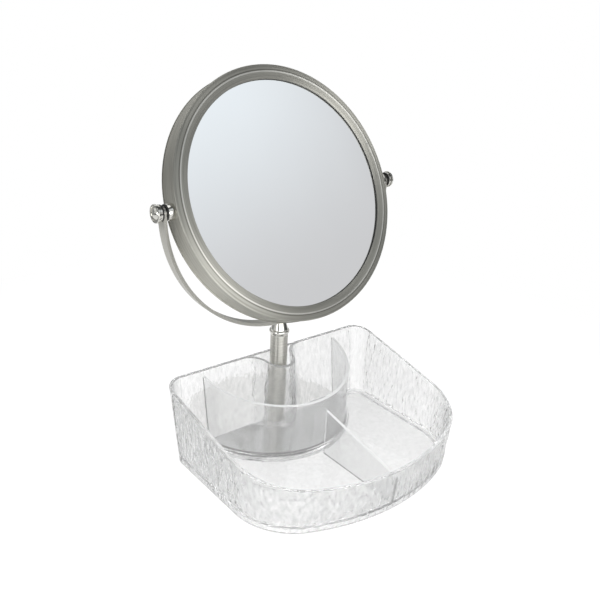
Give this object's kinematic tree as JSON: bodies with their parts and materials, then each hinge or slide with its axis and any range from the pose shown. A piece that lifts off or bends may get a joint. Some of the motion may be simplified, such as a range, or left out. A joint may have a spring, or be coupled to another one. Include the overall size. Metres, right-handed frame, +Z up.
{
  "type": "vanity mirror with organiser tray",
  "caption": "Round two-sided vanity mirror tilting in a half-hoop yoke on a short stem and steel disc, with a clear divided organiser tray around its foot.",
  "frame": {"origin": "where the stem's axis meets the surface that the part stands on", "axes": "+Z up along the stem, +X to the user's right, -Y towards the user"},
  "size_m": [0.1968, 0.2013, 0.259],
  "materials": {
    "clear_styrene": "clear moulded plastic, rippled outside",
    "satin_steel": "satin",
    "zinc_steel": "bright zinc",
    "foam_pad": "matte foam",
    "brushed_nickel": "brushed nickel",
    "polished_nickel": "polished nickel",
    "silvered_glass": "silvered glass",
    "black_rubber": "matte",
    "black_plastic": "matte",
    "grey_plastic": "matte"
  },
  "bodies": {
    "stand": {"tray_shell": "clear_styrene", "arc_divider": "clear_styrene", "centre_divider": "clear_styrene", "base_plate": "satin_steel", "base_pad": "foam_pad", "base_screw": "zinc_steel", "stem_tube": "brushed_nickel", "stem_bottom_insert": "zinc_steel", "stem_top_insert": "zinc_steel", "stem_collar": "polished_nickel", "yoke": "brushed_nickel", "yoke_screw": "polished_nickel", "left_outer_washer": "black_plastic", "right_outer_washer": "black_plastic"},
    "mirror": {"mirror_band": "brushed_nickel", "front_bezel": "brushed_nickel", "rear_bezel": "brushed_nickel", "front_glass": "silvered_glass", "rear_glass": "silvered_glass", "front_gasket": "black_rubber", "rear_gasket": "black_rubber", "spacer_ring": "grey_plastic", "left_pivot_boss": "polished_nickel", "left_pivot_nut": "zinc_steel", "left_inner_washer": "black_plastic", "right_pivot_boss": "polished_nickel", "right_pivot_nut": "zinc_steel", "right_inner_washer": "black_plastic"},
    "left_knob_set": {"left_knob": "polished_nickel", "left_stud": "zinc_steel"},
    "right_knob_set": {"right_knob": "polished_nickel", "right_stud": "zinc_steel"}
  },
  "joints": [
    {"name": "mirror_tilt", "type": "hinge", "parent": "stand", "child": "mirror", "pos_m": [0, 0, 0.1778], "axis": [1, 0, 0], "continuous": true},
    {"name": "left_knob_turn", "type": "hinge", "parent": "mirror", "child": "left_knob_set", "pos_m": [-0.09, 0, 0.1778], "axis": [-1, 0, 0], "continuous": true},
    {"name": "right_knob_turn", "type": "hinge", "parent": "mirror", "child": "right_knob_set", "pos_m": [0.09, 0, 0.1778], "axis": [1, 0, 0], "continuous": true}
  ]
}
